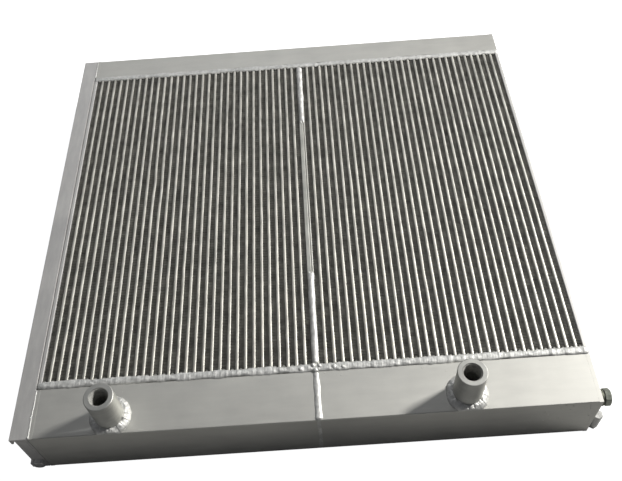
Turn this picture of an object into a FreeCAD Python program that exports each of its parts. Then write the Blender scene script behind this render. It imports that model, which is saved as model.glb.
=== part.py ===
import FreeCAD, Part
import os
import Sketcher

# Hydraulic oil cooler of bar-and-plate construction, lying flat with its air face up.
# X runs across the oil passages, Y from the front tank to the rear tank, Z up through the core.
# The origin is the middle of the whole cooler, at the height of the face that it rests on.
# Oil enters one half of the front tank, flows through one half of the core to the rear tank,
# and comes back through the other half. Air blows straight through the core along Z.

doc = FreeCAD.newDocument("OilCooler")
sheet = doc.addObject("Spreadsheet::Sheet", "Dims")

DIMENSIONS = [
    # core
    ("pitch", 12.4, "spacing of the oil passages"),
    ("bar_width", 3.2, "width of an oil passage and of the bars that close it"),
    ("bar_depth", 7, "depth of an oil side bar along Z"),
    ("sheet_thick", 0.8, "parting sheet"),
    ("left_passages", 31, "oil passages in the left half"),
    ("right_passages", 30, "oil passages in the right half"),
    ("core_length", 670, "core between the tanks"),
    ("core_height", 100, "thickness of the core, along the air flow"),
    ("nose_base", 8, "air closing bar up to its shoulders"),
    ("nose_reach", 4, "nose of the air closing bar past its shoulders"),
    ("nose_tip", 1.8, "flat at the tip of the nose"),
    ("fin_inset", 1, "air fins below the faces of the core"),
    ("centre_left", 7, "thick plate on the left of the divider"),
    ("centre_right", 3, "thin plate on the right of the divider"),
    ("seam", 0.3, "gap between the two centre plates"),
    ("side_plate", 6, "outer plate of each half, and the tank end caps"),
    # tanks
    ("front_depth", 76, "front tank along Y"),
    ("rear_depth", 50.2, "rear tank along Y"),
    ("wall", 5, "tank wall"),
    ("edge_round", 1.5, "outer rounding of the tank edges"),
    ("root_gap", 1.6, "gap between tank and core that the weld fills"),
    ("bead_width", 13, "bead between core and front tank, most of it on the core"),
    ("bead_rise", 2.4, "height of that bead"),
    ("rear_bead_width", 12.5, "bead between core and rear tank"),
    ("rear_bead_rise", 1.6, "height of that bead"),
    ("bead_lap", 0.5, "how far both beads reach onto the tanks"),
    # ports
    ("port_outer", 20.5, "outer radius of a port stub"),
    ("port_bore", 12.05, "bore radius of a port stub, tapped G 3/4"),
    ("port_rise", 63, "port stub above the tank"),
    ("port_inset", 3, "port stub inside the tank"),
    ("port_from_front", 26.3, "port axis behind the front face"),
    ("left_port_offset", 290.7, "left port axis from the divider"),
    ("right_port_offset", 208.2, "right port axis from the divider"),
    ("port_chamfer", 1, "chamfer on both rims of a port's mouth"),
    ("ring_radius", 26, "weld ring round a port"),
    ("ring_rise", 6.5, "height of the weld ring"),
    ("ring_slope", 1.5, "weld ring's steps towards the stub and the tank"),
    # rail
    ("rail_width", 25.7, "mounting rail over its lips"),
    ("rail_gap", 0.8, "gap between rail and core"),
    ("rail_lip", 7, "lip outside the web"),
    ("flange_thick", 5, "rail flange"),
    ("web_thick", 3, "rail web"),
    ("lip_drop", 13, "turned edge of the lip"),
    ("lip_thick", 3.2, "thickness of the turned edge"),
    ("rail_cap", 4, "end cap let into the rail"),
    # bolt low on the front end of the rail
    ("bolt_flats", 17, "across flats"),
    ("bolt_head", 6.4, "head height"),
    ("bolt_shank", 5, "shank radius"),
    ("bolt_length", 16, "shank length"),
    ("bolt_height", 19.5, "bolt axis above the base"),
    # vent plug on the right end
    ("plug_from_front", 13.2, "plug axis behind the front face"),
    ("plug_drop", 14.4, "plug axis below the top face"),
    ("boss_radius", 12, "vent boss"),
    ("boss_rise", 4.5, "vent boss outside the end cap"),
    ("thread_radius", 7, "bore of the vent boss, M14"),
    ("thread_play", 0.05, "radial play of the plug in the boss"),
    ("washer_radius", 10.5, "sealing washer"),
    ("washer_thick", 1.5, "sealing washer"),
    ("plug_flats", 22, "across flats"),
    ("plug_head", 8.5, "plug head"),
    ("plug_thread", 12, "threaded length of the plug"),
    # standoff on the right end
    ("foot_flats", 13, "hex standoff across flats"),
    ("foot_height", 36, "standoff height"),
    ("foot_bore", 3.4, "tapped M8"),
    ("foot_bore_depth", 20, "depth of the tapped hole"),
    ("foot_out", 10.5, "standoff axis outside the end cap"),
    ("foot_from_front", 9.5, "standoff axis behind the front face"),
    ("lug_width", 8, "weld lug that holds the standoff, along Y"),
    ("lug_height", 20, "height of the weld lug"),
    ("lug_base", 28, "foot of the weld lug above the base"),
    # other welds
    ("tack_width", 10, "welds on the divider and across the tank"),
    ("tack_rise", 2.6, "height of those welds"),
    ("front_tack", 162, "length of the front weld on the divider"),
    ("rear_tack", 155, "length of the rear weld on the divider"),
    ("rail_bead", 2.2, "width of the weld that closes the gap between rail and tanks"),
    ("rail_bead_rise", 1, "height of that weld"),
]
for row, (alias, value, note) in enumerate(DIMENSIONS, start=1):
    sheet.set(f"A{row}", str(value))
    sheet.set(f"B{row}", note)
    sheet.setAlias(f"A{row}", alias)
doc.recompute()

# Stations along each axis, as expressions of the dimensions.
AIR_GAP = "(Dims.pitch - Dims.bar_width - 2 * Dims.sheet_thick)"
FOOT_REACH = "(Dims.foot_out + Dims.foot_flats / 2)"
DIVIDER = (
    "(((Dims.left_passages - Dims.right_passages) * Dims.pitch"
    f" + Dims.rail_width + Dims.rail_gap - {FOOT_REACH}) / 2)"
)
HALF_DIVIDER = "((Dims.centre_left + Dims.seam + Dims.centre_right) / 2)"
LEFT_INNER = f"({DIVIDER} - {HALF_DIVIDER})"
LEFT_OUTER = f"({LEFT_INNER} - Dims.left_passages * Dims.pitch - {AIR_GAP})"
LEFT_FACE = f"({LEFT_OUTER} - Dims.side_plate)"
RIGHT_INNER = f"({DIVIDER} + {HALF_DIVIDER})"
RIGHT_OUTER = f"({RIGHT_INNER} + Dims.right_passages * Dims.pitch + {AIR_GAP})"
RIGHT_FACE = f"({RIGHT_OUTER} + Dims.side_plate)"
LENGTH = "(Dims.front_depth + Dims.core_length + Dims.rear_depth)"
FRONT = f"(-({LENGTH} - Dims.bolt_head) / 2)"
CORE_FRONT = f"({FRONT} + Dims.front_depth)"
CORE_REAR = f"({CORE_FRONT} + Dims.core_length)"
REAR = f"({FRONT} + {LENGTH})"
BEAD_TOE = "(Dims.root_gap + Dims.bead_lap)"
TOP = "Dims.core_height"
RAIL_INNER = f"({LEFT_FACE} - Dims.rail_gap)"
BOX_WIDTH = "(Dims.rail_width - Dims.rail_lip)"
BOLT_X = f"({RAIL_INNER} - {BOX_WIDTH} / 2)"
PLUG_Y = f"({FRONT} + Dims.plug_from_front)"
PLUG_Z = f"({TOP} - Dims.plug_drop)"
FOOT_X = f"({RIGHT_FACE} + Dims.foot_out)"
FOOT_Y = f"({FRONT} + Dims.foot_from_front)"

parts = []


def number(expression):
    """Present value of an expression."""
    return float(sheet.evalExpression(f"1 * ({expression})"))


def keep(item, name):
    """Name a sub-part and put it on the list of parts to write."""
    item.Label = name
    parts.append(item)
    return item


def place(item, x, y, z):
    """Bind the position of a sub-part to the sheet."""
    item.setExpression("Placement.Base.x", x)
    item.setExpression("Placement.Base.y", y)
    item.setExpression("Placement.Base.z", z)


def block(name, low, size):
    """Plain rectangular plate from its low corner and its size."""
    item = doc.addObject("Part::Box", name)
    item.setExpression("Length", size[0])
    item.setExpression("Width", size[1])
    item.setExpression("Height", size[2])
    place(item, *low)
    return item


def new_body(name):
    """PartDesign body that may hold several separate solids."""
    body = doc.addObject("PartDesign::Body", name)
    body.AllowCompound = True
    return body


def sketch(body, role):
    """Sketch on one of the body's own origin planes."""
    item = body.newObject("Sketcher::SketchObject", f"{body.Name}_sketch")
    plane = [f for f in body.Origin.OriginFeatures if f.Role == role][0]
    item.AttachmentSupport = [(plane, "")]
    item.MapMode = "FlatFace"
    return item


def outline(item, corners):
    """Closed polygon whose corners are pairs of expressions."""
    first = item.GeometryCount
    count = len(corners)
    points = [FreeCAD.Vector(number(u), number(v), 0) for u, v in corners]
    for index in range(count):
        following = (index + 1) % count
        item.addGeometry(Part.LineSegment(points[index], points[following]))
    for index in range(count):
        edge = first + index
        following = first + (index + 1) % count
        item.addConstraint(Sketcher.Constraint("Coincident", edge, 2, following, 1))
    for index, (u, v) in enumerate(corners):
        edge = first + index
        for kind, expression, value in (
            ("DistanceX", u, points[index].x),
            ("DistanceY", v, points[index].y),
        ):
            known = item.addConstraint(Sketcher.Constraint(kind, -1, 1, edge, 1, value))
            item.setExpression(f"Constraints[{known}]", expression)


def circle(item, u, v, radius):
    """Circle from expressions for its centre and radius."""
    centre = FreeCAD.Vector(number(u), number(v), 0)
    ring = item.addGeometry(Part.Circle(centre, FreeCAD.Vector(0, 0, 1), number(radius)))
    for kind, expression, value in (("DistanceX", u, centre.x), ("DistanceY", v, centre.y)):
        known = item.addConstraint(Sketcher.Constraint(kind, -1, 1, ring, 3, value))
        item.setExpression(f"Constraints[{known}]", expression)
    known = item.addConstraint(Sketcher.Constraint("Radius", ring, number(radius)))
    item.setExpression(f"Constraints[{known}]", radius)


def rectangle(x0, x1, y0, y1):
    """Corners of a rectangle."""
    return [(x0, y0), (x1, y0), (x1, y1), (x0, y1)]


def hexagon(flats, start=0):
    """Corners of a hexagon of a given width across flats; start turns its first corner."""
    reach = f"{flats} / 2 / cos(30 deg)"
    turns = [f"{start + 60 * index} deg" for index in range(6)]
    return [(f"{reach} * cos({turn})", f"{reach} * sin({turn})") for turn in turns]


def pad(body, profile, length, reverse=False):
    """Extrude a profile; reverse sends it against the sketch's normal."""
    item = body.newObject("PartDesign::Pad", f"{body.Name}_pad")
    item.Profile = profile
    item.setExpression("Length", length)
    item.Reversed = reverse
    return item


def pocket(body, profile, length, reverse=False):
    """Cut a profile away, and make sure that it really removed something."""
    doc.recompute()
    before = body.Shape.Volume
    item = body.newObject("PartDesign::Pocket", f"{body.Name}_pocket")
    item.Profile = profile
    item.setExpression("Length", length)
    item.Reversed = reverse
    doc.recompute()
    if item.Shape.Volume > before - 1:
        raise RuntimeError(f"{body.Name}: the pocket cut nothing")
    return item


def repeat(body, feature, profile, count):
    """Repeat a feature along X at the passage pitch."""
    item = body.newObject("PartDesign::LinearPattern", f"{body.Name}_pattern")
    item.Originals = [feature]
    item.Direction = (profile, ["H_Axis"])
    item.Mode = "Spacing"
    item.setExpression("Offset", "Dims.pitch")
    item.setExpression("Occurrences", count)
    body.Tip = item
    return item


def row(name, outlines, height, count, position):
    """One piece, or a few, repeated for every passage or channel of a core half."""
    body = new_body(name)
    profile = sketch(body, "XY_Plane")
    for corners in outlines:
        outline(profile, corners)
    feature = pad(body, profile, height)
    repeat(body, feature, profile, count)
    place(body, *position)
    keep(body, name)


def core_half(side, start, passages):
    """Bars, sheets, turbulators, fins and closing bars of one half.

    start is the left face of the half's leftmost air channel.
    """
    channels = f"{passages} + 1"
    first_sheet = f"({start} + {AIR_GAP})"
    far_sheet = "Dims.sheet_thick + Dims.bar_width"
    row(
        f"parting_sheets_{side}",
        [
            rectangle("0", "Dims.sheet_thick", "0", "Dims.core_length"),
            rectangle(far_sheet, f"{far_sheet} + Dims.sheet_thick", "0", "Dims.core_length"),
        ],
        TOP,
        passages,
        (first_sheet, CORE_FRONT, "0"),
    )
    bar = rectangle("0", "Dims.bar_width", "0", "Dims.core_length")
    first_bar = f"{first_sheet} + Dims.sheet_thick"
    for level, height in (("top", f"{TOP} - Dims.bar_depth"), ("bottom", "0")):
        row(
            f"oil_bars_{level}_{side}",
            [bar],
            "Dims.bar_depth",
            passages,
            (first_bar, CORE_FRONT, height),
        )
    row(
        f"turbulators_{side}",
        [bar],
        f"{TOP} - 2 * Dims.bar_depth",
        passages,
        (first_bar, CORE_FRONT, "Dims.bar_depth"),
    )
    nose = "Dims.nose_base + Dims.nose_reach"
    row(
        f"air_fins_{side}",
        [rectangle("0", AIR_GAP, nose, f"Dims.core_length - ({nose})")],
        f"{TOP} - 2 * Dims.fin_inset",
        channels,
        (start, CORE_FRONT, "Dims.fin_inset"),
    )
    for end, face, sign in (("front", CORE_FRONT, 1), ("rear", CORE_REAR, -1)):
        closing_bar = [
            ("0", "0"),
            (AIR_GAP, "0"),
            (AIR_GAP, f"{sign} * Dims.nose_base"),
            (f"({AIR_GAP} + Dims.nose_tip) / 2", f"{sign} * ({nose})"),
            (f"({AIR_GAP} - Dims.nose_tip) / 2", f"{sign} * ({nose})"),
            ("0", f"{sign} * Dims.nose_base"),
        ]
        row(f"air_bars_{end}_{side}", [closing_bar], TOP, channels, (start, face, "0"))


def core_plate(name, x, thickness):
    """Full-height plate along the core."""
    low = (x, CORE_FRONT, "0")
    keep(block(name, low, (thickness, "Dims.core_length", TOP)), name)


def tank_shell(name, x0, x1, y0, depth, opens_to_rear, port=None):
    """Bent tank shell, open towards the core, with a hole for its port."""
    body = new_body(name)
    profile = sketch(body, "YZ_Plane")
    near = "0" if opens_to_rear else depth
    inner = "Dims.wall" if opens_to_rear else f"({depth} - Dims.wall)"
    far = depth if opens_to_rear else "0"
    outline(
        profile,
        [
            (near, "0"),
            (far, "0"),
            (far, "Dims.wall"),
            (inner, "Dims.wall"),
            (inner, f"{TOP} - Dims.wall"),
            (far, f"{TOP} - Dims.wall"),
            (far, TOP),
            (near, TOP),
        ],
    )
    pad(body, profile, f"{x1} - {x0}")
    if port is not None:
        hole = sketch(body, "XY_Plane")
        circle(hole, f"{port} - {x0}", "Dims.port_from_front", "Dims.port_outer")
        hole.setExpression("AttachmentOffset.Base.z", TOP)
        pocket(body, hole, "Dims.wall")
    doc.recompute()
    edge_y = number(near)
    corners = [
        f"Edge{index}"
        for index, edge in enumerate(body.Shape.Edges, start=1)
        if edge.BoundBox.YLength < 0.01
        and edge.BoundBox.ZLength < 0.01
        and edge.BoundBox.XLength > 10
        and abs(edge.BoundBox.YMin - edge_y) < 0.01
    ]
    plain = body.Tip
    rounding = body.newObject("PartDesign::Fillet", f"{name}_edges")
    rounding.Base = (plain, corners)
    rounding.setExpression("Radius", "Dims.edge_round")
    body.Tip = rounding
    place(body, x0, y0, "0")
    keep(body, name)


def turned(name, steps, position, along_x=False):
    """Solid of revolution about Z from (radius, height) corners, optionally laid along X."""
    body = new_body(name)
    profile = sketch(body, "XZ_Plane")
    outline(profile, steps)
    spin = body.newObject("PartDesign::Revolution", f"{name}_turn")
    spin.Profile = profile
    spin.ReferenceAxis = (profile, ["V_Axis"])
    spin.Angle = 360
    if along_x:
        body.Placement.Rotation = FreeCAD.Rotation(FreeCAD.Vector(0, 1, 0), 90)
    place(body, *position)
    return keep(body, name)


def tube(name, inner, outer, low, high, position, along_x=False):
    """Straight tube between two heights."""
    steps = [(inner, low), (outer, low), (outer, high), (inner, high)]
    return turned(name, steps, position, along_x)


def port(name, offset):
    """Port stub let into the tank, with its mouth chamfered, and the weld ring at its foot."""
    position = (f"{DIVIDER} + {offset}", f"{FRONT} + Dims.port_from_front", TOP)
    low = "-(Dims.wall + Dims.port_inset)"
    turned(
        f"port_{name}",
        [
            ("Dims.port_bore", low),
            ("Dims.port_outer", low),
            ("Dims.port_outer", "Dims.port_rise - Dims.port_chamfer"),
            ("Dims.port_outer - Dims.port_chamfer", "Dims.port_rise"),
            ("Dims.port_bore + Dims.port_chamfer", "Dims.port_rise"),
            ("Dims.port_bore", "Dims.port_rise - Dims.port_chamfer"),
        ],
        position,
    )
    turned(
        f"port_weld_{name}",
        [
            ("Dims.port_outer", "0"),
            ("Dims.ring_radius", "0"),
            ("Dims.ring_radius - Dims.ring_slope", "Dims.ring_slope"),
            ("Dims.port_outer + Dims.ring_slope", "Dims.ring_rise"),
            ("Dims.port_outer", "Dims.ring_rise"),
        ],
        position,
    )


def seam_bead(name, x0, x1, y, tank_side, width, rise, bottom):
    """Bead along X between a tank and the core, with its root in the gap.

    The top bead lies over the closing bars of the core, and the one on the bottom is ground
    flush. tank_side is -1 where the tank lies towards -Y.
    """
    body = new_body(name)
    profile = sketch(body, "YZ_Plane")
    far = f"{tank_side} * Dims.root_gap"
    if bottom:
        corners = rectangle("0", far, "0", "Dims.wall")
    else:
        toe = f"{tank_side} * {BEAD_TOE}"
        quarter = f"{tank_side} * {width} / 4"
        corners = [
            ("0", f"{TOP} - Dims.wall"),
            (far, f"{TOP} - Dims.wall"),
            (far, TOP),
            (toe, TOP),
            (f"{toe} - {quarter}", f"{TOP} + {rise}"),
            (f"{toe} - 3 * {quarter}", f"{TOP} + {rise}"),
            (f"{toe} - 4 * {quarter}", TOP),
            ("0", TOP),
        ]
    outline(profile, corners)
    pad(body, profile, f"{x1} - {x0}")
    place(body, x0, y, "0")
    keep(body, name)


def end_beads():
    """Upright roots of the welds at the four corners where the end caps meet the core."""
    body = new_body("tank_end_welds")
    profile = sketch(body, "XY_Plane")
    profile.setExpression("AttachmentOffset.Base.z", "Dims.wall")
    for x in (LEFT_FACE, RIGHT_OUTER):
        for y in (f"{CORE_FRONT} - Dims.root_gap", CORE_REAR):
            corners = rectangle(x, f"{x} + Dims.side_plate", y, f"{y} + Dims.root_gap")
            outline(profile, corners)
    pad(body, profile, f"{TOP} - 2 * Dims.wall")
    keep(body, "tank_end_welds")


def low_beads(name, x, width, rise, runs):
    """Low weld beads along Y on the top face, centred on x, each from (low y, length)."""
    body = new_body(name)
    profile = sketch(body, "XY_Plane")
    for y, length in runs:
        outline(profile, rectangle(f"-{width} / 2", f"{width} / 2", y, f"{y} + {length}"))
    pad(body, profile, rise)
    place(body, x, "0", TOP)
    keep(body, name)


def hex_bolt(name):
    """Hex bolt with its shank through the front cap of the rail, head towards the front."""
    body = new_body(name)
    head = sketch(body, "XZ_Plane")
    outline(head, hexagon("Dims.bolt_flats"))
    pad(body, head, "Dims.bolt_head")
    shank = sketch(body, "XZ_Plane")
    circle(shank, "0", "0", "Dims.bolt_shank")
    pad(body, shank, "Dims.bolt_length", reverse=True)
    place(body, BOLT_X, FRONT, "Dims.bolt_height")
    keep(body, name)


def mount_rail():
    """Closed box rail along the left side, with a turned lip outside the web, top and bottom."""
    body = new_body("mount_rail")
    profile = sketch(body, "XZ_Plane")
    web = f"-{BOX_WIDTH}"
    lip = "-Dims.rail_width"
    outline(
        profile,
        [
            ("0", "0"),
            ("0", TOP),
            (lip, TOP),
            (lip, f"{TOP} - Dims.lip_drop"),
            (f"{lip} + Dims.lip_thick", f"{TOP} - Dims.lip_drop"),
            (f"{lip} + Dims.lip_thick", f"{TOP} - Dims.flange_thick"),
            (web, f"{TOP} - Dims.flange_thick"),
            (web, "Dims.flange_thick"),
            (f"{lip} + Dims.lip_thick", "Dims.flange_thick"),
            (f"{lip} + Dims.lip_thick", "Dims.lip_drop"),
            (lip, "Dims.lip_drop"),
            (lip, "0"),
        ],
    )
    outline(
        profile,
        [
            ("-Dims.web_thick", "Dims.flange_thick"),
            (f"{web} + Dims.web_thick", "Dims.flange_thick"),
            (f"{web} + Dims.web_thick", f"{TOP} - Dims.flange_thick"),
            ("-Dims.web_thick", f"{TOP} - Dims.flange_thick"),
        ],
    )
    pad(body, profile, LENGTH, reverse=True)
    place(body, RAIL_INNER, FRONT, "0")
    keep(body, "mount_rail")


def rail_cap(name, y, bolt_hole):
    """Cap let into the end of the rail; the front one is drilled for its bolt."""
    half = f"({BOX_WIDTH} / 2 - Dims.web_thick)"
    body = new_body(name)
    profile = sketch(body, "XZ_Plane")
    ceiling = f"{TOP} - Dims.flange_thick"
    outline(profile, rectangle(f"-{half}", half, "Dims.flange_thick", ceiling))
    if bolt_hole:
        circle(profile, "0", "Dims.bolt_height", "Dims.bolt_shank")
    pad(body, profile, "Dims.rail_cap", reverse=True)
    place(body, BOLT_X, y, "0")
    keep(body, name)


def end_cap(name, x, y, depth, vent=False):
    """Flat end plate of a tank; the one at the front right is drilled for the vent boss."""
    body = new_body(name)
    profile = sketch(body, "YZ_Plane")
    outline(profile, rectangle("0", depth, "0", TOP))
    if vent:
        circle(profile, "Dims.plug_from_front", f"{TOP} - Dims.plug_drop", "Dims.boss_radius")
    pad(body, profile, "Dims.side_plate")
    place(body, x, y, "0")
    keep(body, name)


def vent_plug():
    """Hex head plug laid along X, its thread running in the boss."""
    body = new_body("vent_plug")
    head = sketch(body, "YZ_Plane")
    outline(head, hexagon("Dims.plug_flats"))
    pad(body, head, "Dims.plug_head")
    thread = sketch(body, "YZ_Plane")
    circle(thread, "0", "0", "Dims.thread_radius - Dims.thread_play")
    pad(body, thread, "Dims.plug_thread + Dims.washer_thick", reverse=True)
    seat = f"{RIGHT_FACE} + Dims.boss_rise + Dims.washer_thick"
    place(body, seat, PLUG_Y, PLUG_Z)
    keep(body, "vent_plug")


def corner_standoff():
    """Threaded hex standoff beside the right end, tapped from below."""
    body = new_body("corner_standoff")
    profile = sketch(body, "XY_Plane")
    outline(profile, hexagon("Dims.foot_flats", start=30))
    pad(body, profile, "Dims.foot_height")
    bore = sketch(body, "XY_Plane")
    circle(bore, "0", "0", "Dims.foot_bore")
    pocket(body, bore, "Dims.foot_bore_depth", reverse=True)
    place(body, FOOT_X, FOOT_Y, "0")
    keep(body, "corner_standoff")


# core
core_half("left", LEFT_OUTER, "Dims.left_passages")
core_half("right", RIGHT_INNER, "Dims.right_passages")
core_plate("side_plate_left", LEFT_FACE, "Dims.side_plate")
core_plate("centre_plate_left", LEFT_INNER, "Dims.centre_left")
core_plate("centre_plate_right", f"{RIGHT_INNER} - Dims.centre_right", "Dims.centre_right")
core_plate("side_plate_right", RIGHT_OUTER, "Dims.side_plate")

# tanks, each stopping short of the core by the root of its weld
front_shell = "(Dims.front_depth - Dims.root_gap)"
rear_shell = "(Dims.rear_depth - Dims.root_gap)"
rear_start = f"{CORE_REAR} + Dims.root_gap"
baffle_left = f"({DIVIDER} - Dims.wall / 2)"
baffle_right = f"({DIVIDER} + Dims.wall / 2)"
tank_shell(
    "front_tank_left", LEFT_OUTER, DIVIDER, FRONT, front_shell, True,
    port=f"({DIVIDER} - Dims.left_port_offset)",
)
tank_shell(
    "front_tank_right", DIVIDER, RIGHT_OUTER, FRONT, front_shell, True,
    port=f"({DIVIDER} + Dims.right_port_offset)",
)
tank_shell("rear_tank", LEFT_OUTER, RIGHT_OUTER, rear_start, rear_shell, False)
keep(
    block(
        "tank_baffle",
        (baffle_left, f"{FRONT} + Dims.wall", "Dims.wall"),
        ("Dims.wall", "Dims.front_depth - Dims.wall", f"{TOP} - 2 * Dims.wall"),
    ),
    "tank_baffle",
)
end_cap("front_cap_left", LEFT_FACE, FRONT, front_shell)
end_cap("front_cap_right", RIGHT_OUTER, FRONT, front_shell, vent=True)
end_cap("rear_cap_left", LEFT_FACE, rear_start, rear_shell)
end_cap("rear_cap_right", RIGHT_OUTER, rear_start, rear_shell)
port("left", "-Dims.left_port_offset")
port("right", "Dims.right_port_offset")

# mounting rail
mount_rail()
rail_cap("rail_cap_front", FRONT, True)
rail_cap("rail_cap_rear", f"{REAR} - Dims.rail_cap", False)
hex_bolt("rail_cap_bolt")

# vent and standoff on the right end
tube(
    "vent_boss", "Dims.thread_radius", "Dims.boss_radius",
    "-Dims.side_plate", "Dims.boss_rise",
    (RIGHT_FACE, PLUG_Y, PLUG_Z), along_x=True,
)
tube(
    "vent_washer", "Dims.thread_radius", "Dims.washer_radius",
    "Dims.boss_rise", "Dims.boss_rise + Dims.washer_thick",
    (RIGHT_FACE, PLUG_Y, PLUG_Z), along_x=True,
)
vent_plug()
corner_standoff()
keep(
    block(
        "standoff_weld",
        (RIGHT_FACE, f"{FOOT_Y} - Dims.lug_width / 2", "Dims.lug_base"),
        ("Dims.foot_out - Dims.foot_flats / 2", "Dims.lug_width", "Dims.lug_height"),
    ),
    "standoff_weld",
)

# welds
for end, y, tank_side, width, rise in (
    ("front", CORE_FRONT, -1, "Dims.bead_width", "Dims.bead_rise"),
    ("rear", CORE_REAR, 1, "Dims.rear_bead_width", "Dims.rear_bead_rise"),
):
    for level in ("top", "bottom"):
        seam_bead(
            f"{end}_weld_{level}", LEFT_FACE, RIGHT_FACE, y, tank_side,
            width, rise, level == "bottom",
        )
end_beads()
low_beads(
    "divider_welds", DIVIDER, "Dims.tack_width", "Dims.tack_rise",
    [
        (f"{CORE_FRONT} - {BEAD_TOE} + Dims.bead_width", "Dims.front_tack"),
        (
            f"{CORE_REAR} + {BEAD_TOE} - Dims.rear_bead_width - Dims.rear_tack",
            "Dims.rear_tack",
        ),
    ],
)
low_beads(
    "tank_seam_weld", DIVIDER, "Dims.tack_width", "Dims.tack_rise",
    [(FRONT, f"{front_shell} - Dims.bead_lap")],
)
low_beads(
    "rail_welds", f"{RAIL_INNER} + Dims.rail_bead / 2", "Dims.rail_bead", "Dims.rail_bead_rise",
    [
        (FRONT, f"{front_shell} - Dims.bead_lap"),
        (f"{rear_start} + Dims.bead_lap", f"{rear_shell} - Dims.bead_lap"),
    ],
)

doc.recompute()
for item in doc.Objects:
    if "Invalid" in item.State or "Error" in item.State:
        raise RuntimeError(f"{item.Name} failed: {item.State}")
os.makedirs("parts", exist_ok=True)
for item in parts:
    if item.Shape.isNull() or not item.Shape.isValid():
        raise RuntimeError(f"{item.Label} has no valid shape")
    item.Shape.exportStep(f"parts/{item.Label}.step")
    print(f"{item.Label}: {len(item.Shape.Solids)} solids, {item.Shape.Volume:.0f} mm3")
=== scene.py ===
"""Looks of the hydraulic oil cooler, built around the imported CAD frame.

Lengths are in metres. +X is the vent side, -Y the port side and +Z up, as in the CAD.
"""

import math
import random

import bmesh
import bpy
import numpy as np
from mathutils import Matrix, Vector, noise


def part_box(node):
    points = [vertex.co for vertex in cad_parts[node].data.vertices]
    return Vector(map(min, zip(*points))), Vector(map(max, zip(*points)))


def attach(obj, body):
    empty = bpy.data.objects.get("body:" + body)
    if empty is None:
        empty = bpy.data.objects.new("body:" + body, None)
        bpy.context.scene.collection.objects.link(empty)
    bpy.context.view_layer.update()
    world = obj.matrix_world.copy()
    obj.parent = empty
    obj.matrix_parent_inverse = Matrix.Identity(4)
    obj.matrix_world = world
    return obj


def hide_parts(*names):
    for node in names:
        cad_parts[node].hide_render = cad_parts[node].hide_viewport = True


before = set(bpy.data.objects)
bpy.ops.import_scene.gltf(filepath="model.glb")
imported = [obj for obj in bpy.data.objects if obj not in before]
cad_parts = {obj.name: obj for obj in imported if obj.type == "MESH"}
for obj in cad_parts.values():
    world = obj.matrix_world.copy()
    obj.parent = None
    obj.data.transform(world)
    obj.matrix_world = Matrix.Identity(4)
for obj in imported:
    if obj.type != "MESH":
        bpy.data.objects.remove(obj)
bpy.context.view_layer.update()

MM = 0.001
X = Vector((1, 0, 0))
Y = Vector((0, 1, 0))
Z = Vector((0, 0, 1))

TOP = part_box("front_tank_left")[1].z
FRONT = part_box("front_tank_left")[0].y
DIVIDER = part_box("front_tank_right")[0].x

# Core: air channels between hollow oil passages.
AIR_GAP = 7.6 * MM
PITCH = 12.4 * MM
SHEET = 0.8 * MM
BAR_DEPTH = 7 * MM
CORE_STATIONS = 66
SLOW_SWAY = 0.42 * MM  # long, gentle drift of a passage's top edge
QUICK_SWAY = 0.16 * MM  # short waviness on top of it
BEND_DEPTH = 12 * MM  # how far down the waviness of the top edges reaches
HELD_END = 30 * MM  # the passages are straight this near to the tanks
FOLD_PERIOD = 5.2 * MM
FOLD_THICKNESS = 0.22 * MM

# Thread in the mouth of each port.
PORT_PITCH = 1.814 * MM
PORT_TURNS = 12
PORT_STEPS = 96

# Rounding of edges.
CORNER = 0.6 * MM
FLUSH_CORNER = 0.2 * MM  # plates that meet in one plane, so that their joint stays a fine line
HEXAGON_CORNER = 0.5 * MM
CENTRE_CORNER = 1.0 * MM
SIDE_CORNER = 1.1 * MM

# Welds.
SUNK = 0.5 * MM  # how far a weld's base lies below the plates
RING_STEP = 1.3 * MM  # spacing of the cross-sections along a bead

# Materials: noise values that give the two ends of the tint and of the gloss.
TINT_SPAN = (0.36, 0.62)
GLOSS_SPAN = (0.3, 0.7)
GRIT = 620.0  # lumps per metre in a crust

# Light.
KEY_WATTS = 600
FILL_WATTS = 16
SKY_STRENGTH = 0.115
FLOOR_REACH = 9.0
FLOOR_LEVEL = -0.4 * MM


# Materials


def add(tree, kind, **values):
    """A new shader node with its properties or input defaults set by name."""
    node = tree.nodes.new(kind)
    for name, value in values.items():
        if name in node.inputs:
            node.inputs[name].default_value = value
        else:
            setattr(node, name, value)
    return node


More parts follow.
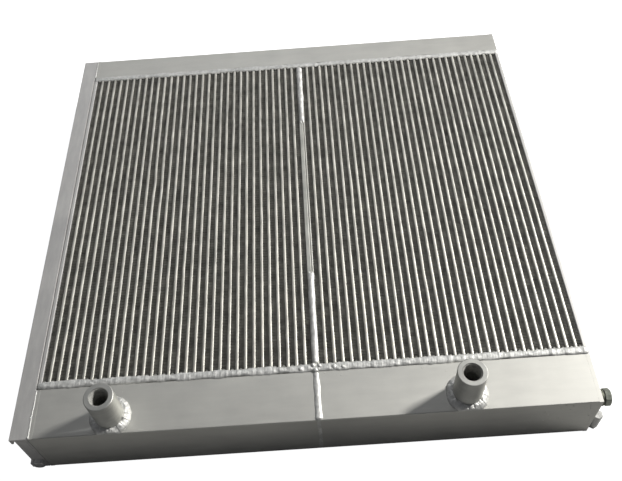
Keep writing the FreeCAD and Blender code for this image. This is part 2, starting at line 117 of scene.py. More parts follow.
def metal(name, dark, pale, grain, stain_size, roughness, relief, metallic=0.85, crust=0.0):
    """Bare metal: a drawn-out grain, cloudy stains, uneven gloss and fine relief.

    grain holds the number of grain marks per metre along x, y and z. crust adds small lumps.
    """
    made = bpy.data.materials.new(name)
    made.use_nodes = True
    tree = made.node_tree
    shader = tree.nodes["Principled BSDF"]
    shader.inputs["Metallic"].default_value = metallic
    link = tree.links.new
    place = add(tree, "ShaderNodeTexCoord").outputs["Object"]
    stretch = add(tree, "ShaderNodeMapping", Scale=grain)
    link(place, stretch.inputs["Vector"])
    marks = add(tree, "ShaderNodeTexNoise", Scale=1.0, Detail=5.0, Roughness=0.65)
    link(stretch.outputs["Vector"], marks.inputs["Vector"])
    clouds = add(tree, "ShaderNodeTexNoise", Scale=1.0 / stain_size, Detail=4.0, Roughness=0.55)
    link(place, clouds.inputs["Vector"])
    mix = add(tree, "ShaderNodeMix", Factor=0.5)
    link(marks.outputs["Fac"], mix.inputs["A"])
    link(clouds.outputs["Fac"], mix.inputs["B"])
    tint = add(tree, "ShaderNodeValToRGB")
    for stop, position, colour in zip(tint.color_ramp.elements, TINT_SPAN, (dark, pale)):
        stop.position = position
        stop.color = (*colour, 1)
    link(mix.outputs["Result"], tint.inputs["Fac"])
    link(tint.outputs["Color"], shader.inputs["Base Color"])
    gloss = add(tree, "ShaderNodeMapRange")
    gloss.inputs["From Min"].default_value = GLOSS_SPAN[0]
    gloss.inputs["From Max"].default_value = GLOSS_SPAN[1]
    gloss.inputs["To Min"].default_value = roughness[0]
    gloss.inputs["To Max"].default_value = roughness[1]
    link(mix.outputs["Result"], gloss.inputs["Value"])
    link(gloss.outputs["Result"], shader.inputs["Roughness"])
    bump = add(tree, "ShaderNodeBump", Strength=1.0, Distance=relief)
    if crust:
        grit = add(tree, "ShaderNodeTexNoise", Scale=GRIT, Detail=3.0, Roughness=0.6)
        link(place, grit.inputs["Vector"])
        heap = add(tree, "ShaderNodeMix", Factor=crust)
        link(marks.outputs["Fac"], heap.inputs["A"])
        link(grit.outputs["Fac"], heap.inputs["B"])
        link(heap.outputs["Result"], bump.inputs["Height"])
    else:
        link(marks.outputs["Fac"], bump.inputs["Height"])
    link(bump.outputs["Normal"], shader.inputs["Normal"])
    return made


# One paint per material slot of the CAD, and "thread" for the cut threads inside the ports.
PAINTS = {
    "tank": metal(
        "rolled_sheet", (0.565, 0.56, 0.53), (0.625, 0.62, 0.585), (16, 90, 90), 0.05,
        (0.53, 0.60), 0.008 * MM,
    ),
    "rail": metal(
        "folded_sheet", (0.59, 0.58, 0.57), (0.70, 0.69, 0.67), (150, 26, 150), 0.10,
        (0.54, 0.64), 0.015 * MM,
    ),
    "core_plate": metal(
        "drawn_plate", (0.36, 0.36, 0.33), (0.66, 0.66, 0.61), (900, 12, 300), 0.05,
        (0.48, 0.60), 0.06 * MM,
    ),
    "parting_sheet": metal(
        "braze_sheet", (0.34, 0.335, 0.305), (0.57, 0.56, 0.51), (420, 30, 120), 0.03,
        (0.44, 0.60), 0.04 * MM,
    ),
    "oil_bar": metal(
        "drawn_bar", (0.39, 0.385, 0.35), (0.72, 0.71, 0.65), (420, 30, 300), 0.03,
        (0.44, 0.60), 0.05 * MM,
    ),
    "air_bar": metal(
        "extruded_bar", (0.30, 0.30, 0.27), (0.50, 0.50, 0.46), (400, 400, 30), 0.02,
        (0.42, 0.56), 0.05 * MM,
    ),
    # Fin foil coloured darker than the plates and bars: painted shade for the deep air channels
    # the fins sit in.
    "air_fin": metal(
        "fin_foil_painted_shade", (0.26, 0.255, 0.24), (0.62, 0.61, 0.575), (420, 24, 160), 0.012,
        (0.50, 0.66), 0.03 * MM, metallic=0.6,
    ),
    "turbulator": metal(
        "inner_foil", (0.30, 0.30, 0.28), (0.45, 0.45, 0.42), (300, 60, 300), 0.03,
        (0.40, 0.55), 0.03 * MM,
    ),
    "port": metal(
        "turned_aluminium", (0.44, 0.44, 0.42), (0.60, 0.60, 0.57), (25, 25, 1500), 0.02,
        (0.48, 0.58), 0.04 * MM, metallic=0.97,
    ),
    "thread": metal(
        "cut_thread", (0.24, 0.24, 0.225), (0.54, 0.535, 0.50), (300, 300, 900), 0.006,
        (0.60, 0.80), 0.05 * MM, metallic=0.0,
    ),
    "weld": metal(
        "weld_bead", (0.54, 0.54, 0.525), (0.80, 0.80, 0.78), (300, 300, 300), 0.008,
        (0.52, 0.74), 0.30 * MM, crust=0.5,
    ),
    "bolt": metal(
        "plain_steel", (0.46, 0.46, 0.46), (0.78, 0.78, 0.77), (600, 90, 600), 0.006,
        (0.42, 0.60), 0.03 * MM,
    ),
    "plug": metal(
        "passivated_steel", (0.24, 0.26, 0.22), (0.42, 0.44, 0.38), (90, 700, 700), 0.006,
        (0.32, 0.50), 0.03 * MM,
    ),
    "washer": metal(
        "bonded_seal", (0.05, 0.05, 0.05), (0.12, 0.12, 0.115), (500, 500, 500), 0.004,
        (0.50, 0.70), 0.03 * MM, metallic=0.3,
    ),
    "boss": metal(
        "dull_boss", (0.15, 0.155, 0.12), (0.30, 0.31, 0.25), (60, 800, 800), 0.008,
        (0.40, 0.60), 0.03 * MM,
    ),
    "standoff": metal(
        "drawn_hexagon", (0.36, 0.36, 0.355), (0.60, 0.60, 0.58), (800, 800, 40), 0.01,
        (0.30, 0.48), 0.03 * MM,
    ),
}


# Pieces


def slot_of(node):
    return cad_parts[node].data.materials[0].name


def finish(name, shell, nodes, body="cooler", smooth_below=38.0, paint=None, slot=None):
    """Turns a bmesh into a piece that stands for CAD nodes, if any, and rides on a body.

    smooth_below is the angle in degrees under which neighbouring faces are shaded as one. The
    slot and the paint are those of the first CAD node, unless they are given.
    """
    bmesh.ops.recalc_face_normals(shell, faces=shell.faces)
    mesh = bpy.data.meshes.new(name)
    shell.to_mesh(mesh)
    shell.free()
    slot = slot or slot_of(nodes[0])
    mesh.materials.append(PAINTS[paint or slot])
    mesh.shade_smooth()
    mesh.set_sharp_from_angle(angle=math.radians(smooth_below))
    piece = bpy.data.objects.new(name, mesh)
    bpy.context.scene.collection.objects.link(piece)
    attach(piece, body)
    if nodes:
        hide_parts(*nodes)
    return piece


class Shape:
    """Points and faces of one piece, gathered from closed shells."""

    def __init__(self):
        self.points = []
        self.faces = []

    def loft(self, rings, looped=False):
        """A shell through equal rings of points, closed by caps or onto itself."""
        start = len(self.points)
        size = len(rings[0])
        for ring in rings:
            self.points.extend(ring)
        spans = len(rings) if looped else len(rings) - 1
        for i in range(spans):
            a = start + i * size
            b = start + (i + 1) % len(rings) * size
            for j in range(size):
                k = (j + 1) % size
                self.faces.append((a + j, a + k, b + k, b + j))
        if not looped:
            last = start + (len(rings) - 1) * size
            self.faces.append(tuple(range(start, start + size)))
            self.faces.append(tuple(range(last, last + size)))

    def piece(self, name, nodes, body="cooler", smooth_below=38.0, slot=None, paint=None):
        mesh = bpy.data.meshes.new(name + "_draft")
        mesh.from_pydata(self.points, [], self.faces)
        shell = bmesh.new()
        shell.from_mesh(mesh)
        bpy.data.meshes.remove(mesh)
        bmesh.ops.remove_doubles(shell, verts=shell.verts, dist=1e-7)
        return finish(name, shell, nodes, body, smooth_below, paint, slot)


def softened(node, corner=CORNER, paint=None):
    """The CAD node's own shape with its sharp edges rounded off."""
    shell = bmesh.new()
    shell.from_mesh(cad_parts[node].data)
    bmesh.ops.remove_doubles(shell, verts=shell.verts, dist=1e-6)
    bmesh.ops.dissolve_limit(
        shell, angle_limit=math.radians(0.5), verts=shell.verts, edges=shell.edges
    )
    sharp = [
        edge
        for edge in shell.edges
        if len(edge.link_faces) == 2 and edge.calc_face_angle() > math.radians(40)
    ]
    bmesh.ops.bevel(
        shell, geom=sharp, offset=corner, segments=2, profile=0.5, affect="EDGES",
        clamp_overlap=True,
    )
    return finish(node + "_skin", shell, [node], smooth_below=20, paint=paint)


# Core


def sways(count, low, high, seed, knocks):
    """Sideways drift of each passage's top edge at every station between low and high.

    knocks lists (passage, y, reach, shift) for edges that something has bent.
    """
    ys = np.linspace(low, high, CORE_STATIONS)
    held = np.clip(np.minimum(ys - low, high - ys) / HELD_END, 0, 1)
    rows = []
    for passage in range(count):
        row = []
        for y in ys:
            slow = noise.noise(Vector((passage * 0.61, y * 7, seed)))
            quick = noise.noise(Vector((passage * 2.3, y * 38, seed + 9)))
            row.append(SLOW_SWAY * slow + QUICK_SWAY * quick)
        row = np.array(row)
        for hit, y, reach, shift in knocks:
            if hit == passage:
                row += shift * np.exp(-(((ys - y) / reach) ** 2))
        rows.append(row * held)
    return ys, rows


def strip(shape, ys, sway, outline):
    """A long bar along Y: outline gives (x, z) points, and the top edge follows sway."""
    rings = []
    for y, shift in zip(ys, sway):
        ring = []
        for x, z in outline:
            bend = shift * math.exp(-(TOP - min(z, TOP)) / BEND_DEPTH)
            ring.append((x + bend, y, z))
        rings.append(ring)
    shape.loft(rings)


def sheet_outline(x, outer_left):
    """Cross-section of a parting sheet, its top corner rounder on the channel side."""
    levels = [0, TOP - 22 * MM, TOP - 9 * MM, TOP - 3 * MM]
    edge = [(0, -0.62), (0.22, -0.30), (0.80, -0.06)]
    if not outer_left:
        edge = [(SHEET / MM - across, drop) for across, drop in reversed(edge)]
    rise = [(x, z) for z in levels]
    over = [(x + across * MM, TOP + drop * MM) for across, drop in edge]
    fall = [(x + SHEET, z) for z in reversed(levels)]
    return rise + over + fall


def bar_outline(x, width):
    """Cross-section of the closing bar between two sheets, with a slight crown."""
    return [
        (x, TOP - BAR_DEPTH),
        (x, TOP - 0.16 * MM),
        (x + 0.10 * width, TOP + 0.02 * MM),
        (x + 0.50 * width, TOP + 0.16 * MM),
        (x + 0.90 * width, TOP + 0.02 * MM),
        (x + width, TOP - 0.16 * MM),
        (x + width, TOP - BAR_DEPTH),
    ]


# Where a folded fin runs across its channel: (share of one period, share of the width).
FOLD = [
    (0.03, 0.05), (0.08, 0.0), (0.40, 0.0), (0.45, 0.05),
    (0.53, 0.95), (0.58, 1.0), (0.90, 1.0), (0.95, 0.95),
]


def folded_fin(shape, low, high, left, right, y_start, y_end, seed):
    """One fin folded back and forth between two sheets whose drift is left(y), right(y)."""
    rng = random.Random(seed)
    half = FOLD_THICKNESS / 2
    wall_left = low.x + half
    wall_right = low.x + AIR_GAP - half
    periods = int((y_end - y_start) / FOLD_PERIOD)
    period = (y_end - y_start) / periods
    path = []
    for i in range(periods):
        slip = rng.uniform(-0.05, 0.05)
        for along, across in FOLD:
            path.append((y_start + (i + along + slip * (0.3 < along < 0.8)) * period, across))
    y = np.array([p[0] for p in path])
    across = np.array([p[1] for p in path])
    drift = (left(y) * (1 - across) + right(y) * across) * math.exp(-3 * MM / BEND_DEPTH)
    base = wall_left + (wall_right - wall_left) * across
    lean = np.array([rng.uniform(-0.25, 0.25) * MM for _ in path])
    tops = np.stack([base + drift, y + lean], axis=1)
    feet = np.stack([base, y], axis=1)
    run = np.gradient(feet, axis=0)
    run /= np.linalg.norm(run, axis=1)[:, None]
    aside = np.stack([-run[:, 1], run[:, 0]], axis=1) * half
    rings = []
    for top, foot, off in zip(tops, feet, aside):
        rings.append([
            (top[0] + off[0], top[1] + off[1], high.z),
            (top[0] - off[0], top[1] - off[1], high.z),
            (foot[0] - off[0], foot[1] - off[1], low.z),
            (foot[0] + off[0], foot[1] + off[1], low.z),
        ])
    shape.loft(rings)


def core_half(side, seed, knocks):
    """Sheets, closing bars and folded fins of one half of the core."""
    sheets_low, sheets_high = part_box(f"parting_sheets_{side}")
    fins_low, fins_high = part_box(f"air_fins_{side}")
    passages = round((sheets_high.x - sheets_low.x + AIR_GAP) / PITCH)
    width = PITCH - AIR_GAP
    ys, drift = sways(passages, sheets_low.y, sheets_high.y, seed, knocks)
    sheets = Shape()
    bars = Shape()
    for i in range(passages):
        x = sheets_low.x + i * PITCH
        strip(sheets, ys, drift[i], sheet_outline(x, True))
        strip(sheets, ys, drift[i], sheet_outline(x + width - SHEET, False))
        strip(bars, ys, drift[i], bar_outline(x + SHEET, width - 2 * SHEET))
    sheets.piece(f"sheets_{side}", [f"parting_sheets_{side}"])
    bars.piece(f"top_bars_{side}", [f"oil_bars_top_{side}"])
    still = np.zeros(len(ys))
    channels = passages + 1
    for part, start in (("outer", 0), ("inner", channels // 2)):
        fins = Shape()
        stop = channels // 2 if part == "outer" else channels
        for k in range(start, stop):
            left = drift[k - 1] if k > 0 else still
            right = drift[k] if k < passages else still
            low = fins_low + X * k * PITCH
            folded_fin(
                fins, low, fins_high,
                lambda y, row=left: np.interp(y, ys, row),
                lambda y, row=right: np.interp(y, ys, row),
                fins_low.y, fins_high.y, seed * 100 + k,
            )
        fins.piece(f"folded_fins_{side}_{part}", [f"air_fins_{side}"], smooth_below=60)


core_half("left", 3, [
    (4, 0.055, 0.030, -0.9 * MM),
    (10, 0.065, 0.024, 1.3 * MM),
    (11, 0.045, 0.032, 1.0 * MM),
    (15, -0.120, 0.020, -0.7 * MM),
    (21, 0.190, 0.022, 0.8 * MM),
    (25, -0.040, 0.030, 0.6 * MM),
])
core_half("right", 8, [
    (5, 0.020, 0.028, 0.7 * MM),
    (13, -0.160, 0.024, -0.8 * MM),
    (19, 0.150, 0.030, 0.7 * MM),
    (26, 0.010, 0.022, -0.6 * MM),
])


# Welds


def mound(u, sharpness):
    """Height of a bead across its width, u from -1 to 1. A sharper one is more like a roof."""
    return (1 - abs(u) ** (2.6 - 1.4 * sharpness)) ** (0.55 + 0.4 * sharpness)


def bead(shape, start, along, side, up, length, width, height, seed, look):
    """A weld bead laid on a flat face.

    look holds pitch (of the ripples), ripple, lumps and drift (shares or metres), sharp (0 to 1)
    and crater, which is where along the bead the arc was broken off, or None.
    """
    across = 12
    taper = 0.45 * width
    count = max(12, int(length / RING_STEP))
    rings = []
    for i in range(count + 1):
        s = length * i / count
        near_end = min(min(s, length - s) / taper, 1)
        swell = math.sqrt(1 - (1 - near_end) ** 2)
        slow = noise.noise(Vector((s / (16 * MM), seed, 0.5)))
        knob = noise.noise(Vector((s / (5.5 * MM), seed, 7.5)))
        reach = width / 2 * (1 + 0.5 * look["lumps"] * knob + 0.25 * slow) * (0.35 + 0.65 * swell)
        shift = look["drift"] * noise.noise(Vector((s / (30 * MM), seed, 3.5)))
        ring = []
        for j in range(across + 1):
            u = -1 + 2 * j / across
            wave = math.sin(2 * math.pi * (s / look["pitch"] + 0.45 * u * u + 0.3 * slow))
            lump = noise.noise(Vector((s / (6 * MM), u * 1.3, seed + 20)))
            share = 1 + look["ripple"] * wave + look["lumps"] * (lump + 0.7 * knob)
            rise = height * swell * mound(u, look["sharp"]) * max(share, 0.25)
            if look["crater"] is not None:
                away = math.hypot(s - look["crater"], u * reach)
                rise -= 0.9 * height * math.exp(-((away / (1.7 * MM)) ** 2))
            ring.append(start + along * s + side * (shift + u * reach) + up * rise)
        ring.append(start + along * s + side * (shift + reach) - up * SUNK)
        ring.append(start + along * s + side * (shift - reach) - up * SUNK)
        rings.append(ring)
    shape.loft(rings)


def knobs(shape, spots, seed):
    """Round blobs of weld metal: (centre, radius, height) each."""
    for number, (centre, radius, height) in enumerate(spots):
        rings = []
        for i in range(7):
            polar = math.radians(8 + 82 * i / 6)
            ring = []
            for j in range(14):
                turn = 2 * math.pi * j / 14
                off = Vector((math.cos(turn), math.sin(turn), 0)) * math.sin(polar)
                uneven = 1 + 0.16 * noise.noise(off * 1.6 + Z * (seed + number * 3))
                lift = height * math.cos(polar) * uneven
                ring.append(centre + off * radius * uneven + Z * lift)
            rings.append(ring)
        rings.append([point - Z * SUNK for point in rings[-1]])
        shape.loft(rings)


ROUGH_BEAD = {"pitch": 3.8 * MM, "ripple": 0.07, "lumps": 0.26, "drift": 0.6 * MM, "sharp": 0.1,
              "crater": None}
EVEN_BEAD = {"pitch": 3.2 * MM, "ripple": 0.10, "lumps": 0.22, "drift": 0.5 * MM, "sharp": 0.1,
             "crater": None}
ROOF_BEAD = {"pitch": 2.6 * MM, "ripple": 0.07, "lumps": 0.16, "drift": 0.4 * MM, "sharp": 0.5,
             "crater": None}


def across_top(name, node, look, seed, blobs):
    """The bead along X between the core and a tank, on the top face."""
    low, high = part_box(node)
    shape = Shape()
    middle = (low.y + high.y) / 2
    start = Vector((low.x, middle, TOP))
    width = 0.94 * (high.y - low.y)
    bead(shape, start, X, Y, Z, high.x - low.x, width, high.z - TOP, seed, look)
    knobs(shape, [(Vector((x, middle + y, TOP)), r, h) for x, y, r, h in blobs], seed)
    shape.piece(name, [node])


across_top("front_bead", "front_weld_top", ROUGH_BEAD, 11, [
    (DIVIDER - 4 * MM, 3.5 * MM, 4.2 * MM, 4.4 * MM),
    (DIVIDER + 5 * MM, 2.5 * MM, 4.0 * MM, 4.0 * MM),
    (DIVIDER - 1 * MM, -4 * MM, 4.6 * MM, 3.8 * MM),
    (DIVIDER - 22 * MM, -1 * MM, 4.4 * MM, 3.6 * MM),
    (DIVIDER + 26 * MM, 0, 4.6 * MM, 3.4 * MM),
    (DIVIDER + 39 * MM, -1 * MM, 4.0 * MM, 3.4 * MM),
])
across_top("rear_bead", "rear_weld_top", EVEN_BEAD, 31, [])


def divider_beads():
    """Two runs over the seam between the core halves, from the tanks inwards."""
    low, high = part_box("divider_welds")
    shape = Shape()
    rise = high.z - TOP
    width = high.x - low.x
    front_length = 162 * MM
    rear_length = 155 * MM
    crater_inset = 2.6 * MM
    front_look = dict(ROOF_BEAD, crater=front_length - crater_inset)
    rear_look = dict(ROOF_BEAD, crater=crater_inset, lumps=0.24)
    start = Vector((DIVIDER, low.y, TOP))
    bead(shape, start, Y, X, Z, front_length, width, rise, 41, front_look)
    start = Vector((DIVIDER, high.y - rear_length, TOP))
    bead(shape, start, Y, X, Z, rear_length, width, rise, 53, rear_look)
    shape.piece("divider_beads", ["divider_welds"])


def tank_seam():
    """The bead over the joint of the two front tanks, and its flush end on their front."""
    low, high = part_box("tank_seam_weld")
    shape = Shape()
    look = dict(ROOF_BEAD, drift=2.2 * MM, lumps=0.2)
    start = Vector((DIVIDER, low.y + 0.4 * MM, TOP))
    width = high.x - low.x
    rise = 0.7 * (high.z - TOP)
    bead(shape, start, Y, X, Z, high.y - low.y, width * 0.95, rise, 67, look)
    flush = dict(EVEN_BEAD, lumps=0.5)
    start = Vector((DIVIDER, FRONT, 3 * MM))
    bead(shape, start, Z, X, -Y, TOP - 5 * MM, 5 * MM, 0.3 * MM, 71, flush)
    shape.piece("tank_seam_bead", ["tank_seam_weld"])


def rail_seams():
    """Thin beads that close the gap between the rail and the ends of both tanks."""
    low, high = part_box("rail_welds")
    shape = Shape()
    middle = (low.x + high.x) / 2 - 0.4 * MM
    front_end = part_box("front_weld_top")[0].y
    rear_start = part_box("rear_weld_top")[1].y
    width = high.x - low.x
    rise = 0.6 * MM
    start = Vector((middle, low.y + 0.3 * MM, TOP))
    bead(shape, start, Y, X, Z, front_end - low.y, width, rise, 83, EVEN_BEAD)
    start = Vector((middle, rear_start, TOP))
    bead(shape, start, Y, X, Z, high.y - rear_start, width, rise, 89, EVEN_BEAD)
    knobs(shape, [(Vector((middle, low.y + 2.2 * MM, TOP)), 1.9 * MM, 1.7 * MM)], 5)
    shape.piece("rail_seam_beads", ["rail_welds"])


divider_beads()
tank_seam()
rail_seams()


def around(centre, axis, radius, turn, height):
    """A point at radius and turn about an axis, height along it."""
    first = axis.orthogonal().normalized()
    if abs(axis.z) > 0.9:
        first = X
    second = axis.cross(first)
    return (
        centre + first * radius * math.cos(turn) + second * radius * math.sin(turn) + axis * height
    )


def lathe(shape, centre, axis, profile, steps=72):
    """A turned solid: profile is a closed loop of (radius, height)."""
    rings = []
    for i in range(steps):
        turn = 2 * math.pi * i / steps
        rings.append([around(centre, axis, r, turn, h) for r, h in profile])
    shape.loft(rings, looped=True)


def port_ring(side, seed):
    """The lumpy fillet round a port's foot, laid in short overlapping dabs."""
    node = f"port_weld_{side}"
    low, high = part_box(node)
    port_low, port_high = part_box(f"port_{side}")
    centre = Vector(((port_low.x + port_high.x) / 2, (port_low.y + port_high.y) / 2, TOP))
    inner = (port_high.x - port_low.x) / 2 - 0.4 * MM
    outer = (high.x - low.x) / 2 + 4.0 * MM
    rise = high.z - TOP
    steps = 176
    dabs = 19
    rings = []
    for i in range(steps):
        turn = 2 * math.pi * i / steps
        spoke = Vector((math.cos(turn), math.sin(turn), seed))
        slow = noise.noise(spoke * 1.4)
        dab = (dabs * turn / (2 * math.pi) + 0.35 * slow) % 1
        step = 0.5 - dab
        reach = outer * (1 + 0.05 * slow + 0.02 * step)
        ring = []
        for j in range(11):
            v = j / 10
            grain = noise.noise(Vector((math.cos(turn) * 5, math.sin(turn) * 5, v * 2.4 + seed)))
            r = inner + (reach - inner) * v
            plump = (1 - v ** 1.9) ** 0.7
            lift = rise * plump * (1 + 0.12 * step + 0.24 * grain + 0.2 * slow)
            point = centre + X * r * math.cos(turn) + Y * r * math.sin(turn) + Z * lift
            point.y = max(point.y, FRONT + 0.15 * MM)
            ring.append(point)
        foot = ring[-1] - Z * SUNK
        root = centre + X * inner * math.cos(turn) + Y * inner * math.sin(turn) - Z * SUNK
        ring.extend([foot, root])
        rings.append(ring)
    shape = Shape()
    shape.loft(rings, looped=True)
    shape.piece(f"port_ring_{side}", [node])


def port(side):
    """Port stub with turned chamfers, and the thread that is cut into its mouth."""
    low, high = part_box(f"port_{side}")
    centre = Vector(((low.x + high.x) / 2, (low.y + high.y) / 2, 0))
    outer = (high.x - low.x) / 2
    bore = 12.05 * MM
    crest = 13.1 * MM
    lining = crest + 0.1 * MM
    chamfer = 1.1 * MM
    mouth = high.z - 1.0 * MM
    shape = Shape()
    lathe(shape, centre, Z, [
        (outer, low.z), (outer, high.z - chamfer), (outer - 0.35 * MM, high.z - 0.45 * MM),
        (outer - chamfer, high.z), (crest + 0.6 * MM, high.z), (crest, mouth), (crest, low.z),
    ], PORT_STEPS)
    shape.piece(f"port_stub_{side}", [f"port_{side}"], smooth_below=24)
    profile = [(lining, low.z), (lining, mouth - 0.1 * PORT_PITCH)]
    for i in range(PORT_TURNS):
        root = mouth - (i + 0.1) * PORT_PITCH
        profile += [(crest, root), (bore, root - 0.42 * PORT_PITCH)]
        profile += [(bore, root - 0.52 * PORT_PITCH), (crest, root - 0.94 * PORT_PITCH)]
    end = mouth - (PORT_TURNS + 0.1) * PORT_PITCH
    profile += [(bore, end), (bore, low.z)]
    shape = Shape()
    lathe(shape, centre, Z, profile, PORT_STEPS)
    shape.piece(f"port_thread_{side}", [], smooth_below=24, slot="port", paint="thread")


for port_side, port_seed in (("left", 4.2), ("right", 9.7)):
    port_ring(port_side, port_seed)
    port(port_side)


# Fittings

VENT_BORE = 7.0 * MM
FINE_PITCH = 1.5 * MM


def hexagon_radius(flats, turn):
    """Distance from the axis to the side of a hexagon with a flat at turn 0."""
    sector = (turn + math.pi / 6) % (math.pi / 3) - math.pi / 6
    return flats / 2 / math.cos(sector)


def hex_head(shape, centre, axis, flats, start, end, twist=0.0):
    """A hexagon from start to end along axis, its corners chamfered at the far end."""
    steps = 72
    edge = 0.47 * flats
    slope = math.tan(math.radians(28))
    rings = []
    away = 1 if end > start else -1

    def ring_at(radius_of, height_of):
        ring = []
        for i in range(steps):
            turn = 2 * math.pi * (i + 0.5) / steps
            side = hexagon_radius(flats, turn)
            ring.append(around(centre, axis, radius_of(side), turn + twist, height_of(side)))
        return ring

    def drop(side):
        return away * max(side - edge, 0) * slope

    rings.append(ring_at(lambda side: side - 0.15 * MM, lambda side: start))
    rings.append(ring_at(lambda side: side, lambda side: start + away * 0.15 * MM))
    rings.append(ring_at(lambda side: side, lambda side: end - drop(side)))
    rings.append(ring_at(lambda side: edge, lambda side: end))
    shape.loft(rings)


def threaded_shank(shape, centre, axis, radius, pitch, start, end):
    """A screw's shank with ridges, from start to end along axis."""
    away = 1 if end > start else -1
    count = int(abs(end - start) / pitch)
    profile = [(0, start), (radius, start)]
    for i in range(count):
        base = start + away * pitch * (i + 0.1)
        profile += [(radius, base), (radius - 0.8 * MM, base + away * 0.45 * pitch)]
        profile += [(radius, base + away * 0.9 * pitch)]
    profile += [(radius - 0.9 * MM, end), (0, end)]
    lathe(shape, centre, axis, profile, 48)


def vent_boss(centre):
    """Turned boss of the vent, welded onto the right end."""
    low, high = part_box("vent_boss")
    radius = (high.z - low.z) / 2
    bore = VENT_BORE
    shape = Shape()
    lathe(shape, centre, X, [
        (radius, low.x), (radius, high.x - 1.0 * MM), (radius - 1.0 * MM, high.x),
        (bore + 0.6 * MM, high.x), (bore, high.x - 0.6 * MM), (bore, low.x),
    ])
    shape.piece("vent_boss_turned", ["vent_boss"])


def vent_washer(centre):
    """Sealing washer with eased edges."""
    low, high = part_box("vent_washer")
    radius = (high.z - low.z) / 2
    ease = 0.3 * MM
    inner = VENT_BORE + 0.4 * MM
    lip = VENT_BORE + 1.2 * MM
    shape = Shape()
    lathe(shape, centre, X, [
        (radius - 0.25 * MM, low.x), (radius, low.x + ease), (radius, high.x - ease),
        (radius - 0.25 * MM, high.x), (lip, high.x), (inner, high.x - ease),
        (inner, low.x + ease), (lip, low.x),
    ])
    shape.piece("vent_washer_seal", ["vent_washer"], "washer")


def vent_plug(centre):
    """Hexagon head and threaded shank of the plug."""
    low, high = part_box("vent_plug")
    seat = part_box("vent_washer")[1].x
    shape = Shape()
    hex_head(shape, centre, X, 22 * MM, seat, high.x)
    threaded_shank(shape, centre, X, VENT_BORE - 0.05 * MM, FINE_PITCH, seat + 0.2 * MM, low.x)
    shape.piece("vent_plug_hex", ["vent_plug"], "plug", smooth_below=22)


def rail_bolt():
    """Hex bolt through the front cap of the rail."""
    low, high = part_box("rail_cap_bolt")
    cap_low, cap_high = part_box("rail_cap_front")
    centre = Vector(((low.x + high.x) / 2, 0, (low.z + high.z) / 2))
    shape = Shape()
    hex_head(shape, centre, Y, 17 * MM, cap_low.y, low.y, twist=math.radians(90))
    threaded_shank(shape, centre, Y, 4.95 * MM, FINE_PITCH, cap_low.y - 0.2 * MM, high.y)
    shape.piece("rail_bolt_hex", ["rail_cap_bolt"], smooth_below=22)


boss_low, boss_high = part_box("vent_boss")
vent_centre = Vector((0, (boss_low.y + boss_high.y) / 2, (boss_low.z + boss_high.z) / 2))
vent_boss(vent_centre)
vent_washer(vent_centre)
vent_plug(vent_centre)
rail_bolt()


def standoff_blob():
    """Weld metal between the threaded standoff and the right end plate."""
    low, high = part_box("standoff_weld")
    shape = Shape()
    middle = (low + high) / 2
    rings = []
    for i in range(11):
        s = -1 + 2 * i / 10
        girth = math.sqrt(max(1 - s ** 4, 0.12))
        ring = []
        for j in range(16):
            turn = 2 * math.pi * j / 16
            uneven = 0.93 + 0.16 * noise.noise(Vector((math.cos(turn), math.sin(turn), s * 2.1)))
            x = math.cos(turn) * (high.x - low.x) * 0.62 * girth * uneven
            y = math.sin(turn) * (high.y - low.y) * 0.56 * girth * uneven
            z = s * (high.z - low.z) / 2
            ring.append(middle + Vector((x, y, z)))
        rings.append(ring)
    shape.loft(rings)
    shape.piece("standoff_blob", ["standoff_weld"])


standoff_blob()


# Plates and tanks keep their CAD shape, with rounded edges.

for plain in ("rail_cap_rear", "mount_rail"):
    softened(plain)
for plate in ("centre_plate_left", "centre_plate_right"):
    softened(plate, CENTRE_CORNER)
for flush in (
    "front_tank_left", "front_tank_right", "rear_tank", "front_cap_left", "front_cap_right",
    "rear_cap_left", "rear_cap_right", "rail_cap_front",
):
    softened(flush, FLUSH_CORNER)
softened("corner_standoff", HEXAGON_CORNER)
for side_plate in ("side_plate_left", "side_plate_right"):
    softened(side_plate, SIDE_CORNER, "rail")


def spatter_spots(rng):
    """Where the drops landed: (x, y, z, direction they stand up in) each."""
    spots = []
    right_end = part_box("front_tank_right")[1].x
    for _ in range(26):
        spots.append((right_end - rng.uniform(3, 90) * MM, FRONT, rng.uniform(35, 95) * MM, -Y))
    weld_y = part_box("front_weld_top")[0].y
    for _ in range(30):
        x = rng.uniform(-0.36, 0.36)
        spots.append((x, weld_y - rng.expovariate(1) * 6 * MM - 1 * MM, TOP, Z))
    for side in ("left", "right"):
        low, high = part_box(f"port_weld_{side}")
        middle = (low + high) / 2
        for _ in range(14):
            turn = rng.uniform(-0.6, math.pi + 0.6)
            reach = (high.x - low.x) / 2 + rng.expovariate(1) * 5 * MM + 1 * MM
            x = middle.x + reach * math.cos(turn)
            y = middle.y + reach * math.sin(turn)
            spots.append((x, max(y, FRONT + 2 * MM), TOP, Z))
    return spots


def drop(shape, base, up, size):
    """One flattened drop of weld metal on a plate."""
    rings = []
    for i in range(4):
        polar = math.radians(12 + 78 * i / 3)
        ring = []
        for j in range(8):
            height = 0.8 * size * math.cos(polar) * (1 + 0.1 * math.sin(3 * j))
            ring.append(around(base, up, size * math.sin(polar), 2 * math.pi * j / 8, height))
        rings.append(ring)
    shape.loft(rings)


def spatter():
    """Small drops of weld metal thrown onto the plates beside the welds."""
    rng = random.Random(17)
    shape = Shape()
    for x, y, z, up in spatter_spots(rng):
        size = rng.uniform(0.3, 0.8) * MM * (1.6 if up.z == 0 else 1)
        drop(shape, Vector((x, y, z)) - up * 0.1 * MM, up, size)
    shape.piece("weld_spatter", [], slot="weld")


spatter()

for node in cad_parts.values():
    node.data.materials[0] = PAINTS[node.data.materials[0].name]


# Floor, light and camera


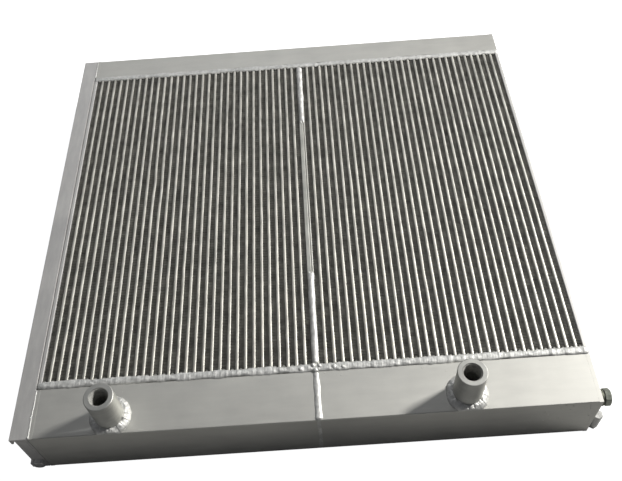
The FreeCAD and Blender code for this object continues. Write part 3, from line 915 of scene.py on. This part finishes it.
def floor():
    """A plain pale floor that glows for the camera only, so it doesn't light up the metal."""
    mesh = bpy.data.meshes.new("floor")
    corners = ((-1, -1), (1, -1), (1, 1), (-1, 1))
    points = [(x * FLOOR_REACH, y * FLOOR_REACH, FLOOR_LEVEL) for x, y in corners]
    mesh.from_pydata(points, [], [(0, 1, 2, 3)])
    sheet = bpy.data.materials.new("pale_floor")
    sheet.use_nodes = True
    tree = sheet.node_tree
    shader = tree.nodes["Principled BSDF"]
    shader.inputs["Base Color"].default_value = (0.38, 0.38, 0.375, 1)
    shader.inputs["Roughness"].default_value = 0.9
    glow = add(tree, "ShaderNodeEmission", Color=(1, 1, 1, 1), Strength=1.0)
    seen = add(tree, "ShaderNodeMixShader")
    sum_up = add(tree, "ShaderNodeAddShader")
    ray = add(tree, "ShaderNodeLightPath")
    link = tree.links.new
    link(shader.outputs["BSDF"], sum_up.inputs[0])
    link(glow.outputs["Emission"], sum_up.inputs[1])
    link(ray.outputs["Is Camera Ray"], seen.inputs["Fac"])
    link(shader.outputs["BSDF"], seen.inputs[1])
    link(sum_up.outputs["Shader"], seen.inputs[2])
    link(seen.outputs["Shader"], tree.nodes["Material Output"].inputs["Surface"])
    mesh.materials.append(sheet)
    ground = bpy.data.objects.new("floor", mesh)
    bpy.context.scene.collection.objects.link(ground)


def lamp(name, place, aim, size, power, tint):
    """A square soft light at place that shines towards aim."""
    light = bpy.data.lights.new(name, "AREA")
    light.shape = "SQUARE"
    light.size = size
    light.energy = power
    light.color = tint
    stand = bpy.data.objects.new(name, light)
    stand.location = place
    stand.rotation_euler = (Vector(aim) - Vector(place)).to_track_quat("-Z", "Y").to_euler()
    bpy.context.scene.collection.objects.link(stand)


def grey_world():
    """An even, slightly cool grey all round."""
    world = bpy.data.worlds.new("studio")
    world.use_nodes = True
    background = world.node_tree.nodes["Background"]
    background.inputs["Color"].default_value = (0.93, 0.95, 1.0, 1)
    background.inputs["Strength"].default_value = SKY_STRENGTH
    bpy.context.scene.world = world


def studio_camera():
    """The camera above the front edge, looking down over the whole top."""
    camera = bpy.data.objects.new("camera", bpy.data.cameras.new("camera"))
    camera.data.sensor_width = 36
    camera.data.lens = 43.405
    camera.location = (0.02938, -0.81678, 1.07072)
    camera.rotation_euler = [math.radians(turn) for turn in (36.906, 2.910, -2.720)]
    bpy.context.scene.collection.objects.link(camera)
    bpy.context.scene.camera = camera


floor()
lamp("key_light", (5.3, 2.1, 4.35), (0.0, 0.0, 0.05), 0.9, KEY_WATTS, (1.0, 0.985, 0.95))
lamp("soft_fill", (-0.3, 2.3, 2.4), (0.0, 0.0, 0.0), 2.4, FILL_WATTS, (0.95, 0.97, 1.0))
grey_world()
studio_camera()
bpy.context.scene.view_settings.view_transform = "Standard"

bpy.context.view_layer.update()
